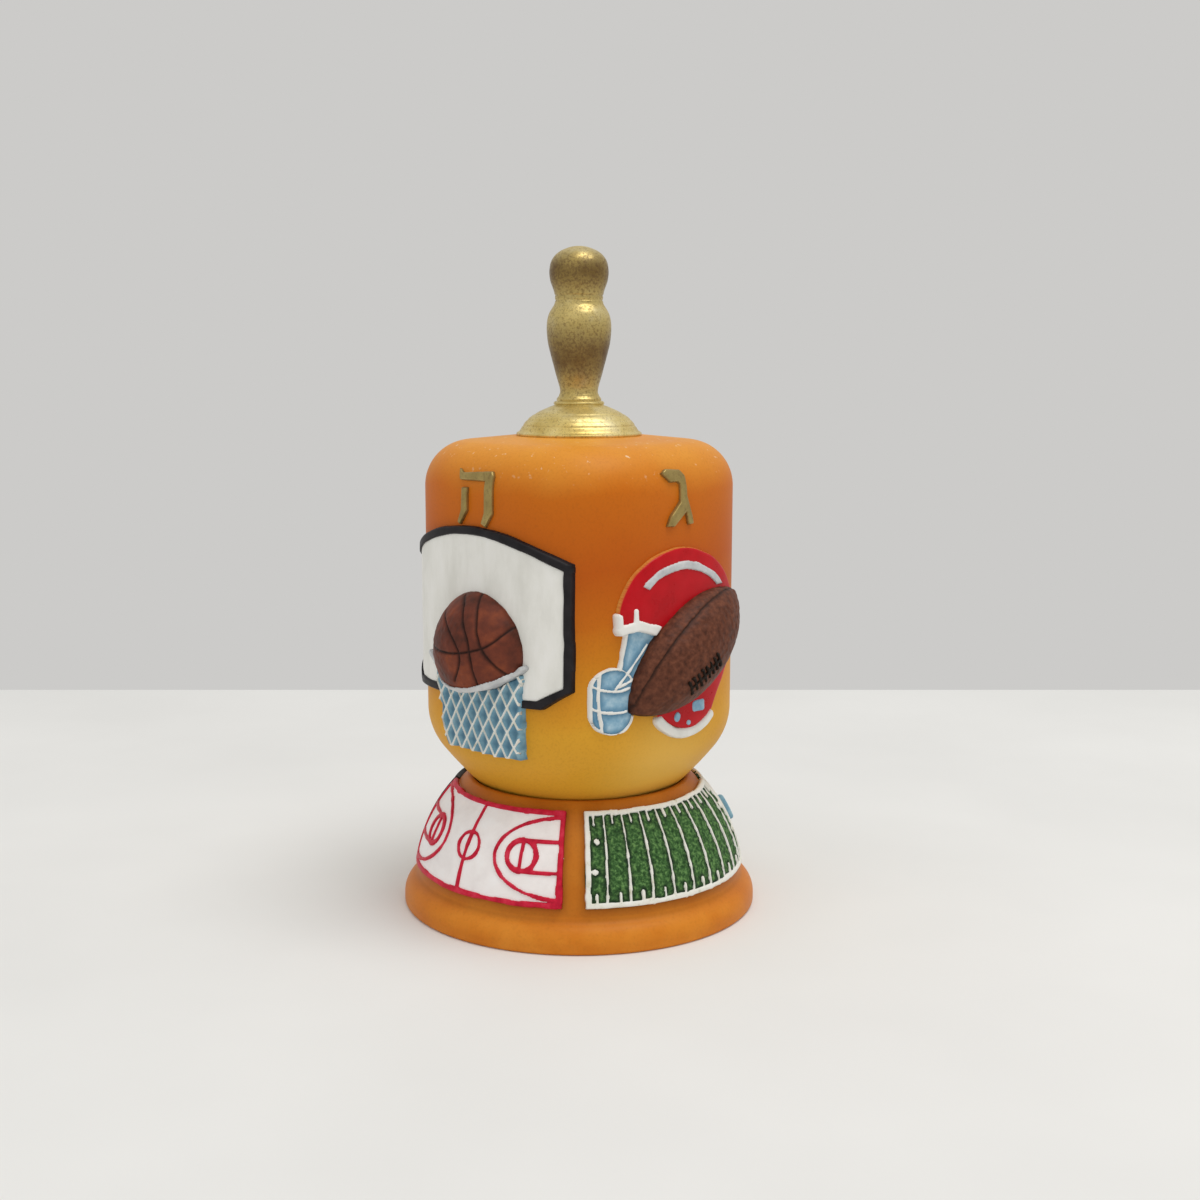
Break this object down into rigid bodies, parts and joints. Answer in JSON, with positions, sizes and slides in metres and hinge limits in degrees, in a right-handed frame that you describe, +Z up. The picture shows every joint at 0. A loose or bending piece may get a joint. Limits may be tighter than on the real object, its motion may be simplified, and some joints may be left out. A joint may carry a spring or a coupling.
{
  "type": "dreidel on a stand",
  "caption": "Four-sided spinning top with a turned stem and raised sport motifs, resting point down in the cup of a round stand; it lifts out and spins.",
  "frame": {"origin": "centre of the stand's flat underside", "axes": "+Z up along the spin axis, -Y out of the basketball face, +X out of the helmet face"},
  "size_m": [0.0549, 0.0544, 0.0999],
  "materials": {
    "stand_resin": "airbrushed terracotta orange on cast resin, satin",
    "body_resin": "airbrushed orange fading to golden yellow on cast resin, satin",
    "gold_paint": "antique gold paint on a turned casting, soft metallic",
    "steel": "plain drawn steel rod",
    "white_paint": "brushed white paint on resin, satin",
    "black_paint": "brushed black paint on resin, satin",
    "red_paint": "brushed red paint on resin, gloss",
    "crimson_paint": "brushed crimson line paint on resin, satin",
    "blue_paint": "brushed slate blue paint on resin, satin",
    "grey_paint": "brushed pale grey paint on resin, satin",
    "ball_brown": "brown paint with a dark wash on resin, matte",
    "leather_brown": "leather brown paint with a dark wash on resin, matte",
    "dark_brown": "dark brown paint on resin, matte",
    "field_green": "stippled dark green paint on resin, matte",
    "sand_paint": "sandy tan paint on resin, matte"
  },
  "bodies": {
    "stand": {"stand": "stand_resin", "court_board": "white_paint", "court_lines": "crimson_paint", "field_turf": "field_green", "field_lines": "white_paint", "pitch_turf": "field_green", "pitch_lines": "white_paint", "pitch_goals": "blue_paint", "diamond_turf": "field_green", "diamond_infield": "sand_paint", "diamond_lines": "white_paint", "diamond_border": "black_paint"},
    "core": {"core_pin": "steel"},
    "dreidel": {"dreidel_body": "body_resin", "stem": "gold_paint", "backboard": "white_paint", "backboard_trim": "black_paint", "basketball": "ball_brown", "hoop_rim": "grey_paint", "hoop_net": "blue_paint", "net_cords": "white_paint", "helmet_shell": "red_paint", "helmet_stripe": "grey_paint", "brow_band": "white_paint", "neck_roll": "white_paint", "face_opening": "blue_paint", "face_mask": "white_paint", "ear_holes": "blue_paint", "football": "leather_brown", "football_laces": "dark_brown", "goal_frame": "white_paint", "goal_net": "blue_paint", "goal_cords": "white_paint", "soccer_ball": "white_paint", "soccer_patches": "black_paint", "glove": "leather_brown", "glove_web": "dark_brown", "baseball": "white_paint", "bat": "sand_paint"}
  },
  "joints": [
    {"name": "lift", "type": "slide", "parent": "stand", "child": "core", "axis": [0, 0, 1], "range_m": [0, 0.04]},
    {"name": "spin", "type": "hinge", "parent": "core", "child": "dreidel", "pos_m": [0, 0, 0.05], "axis": [0, 0, 1], "continuous": true}
  ]
}
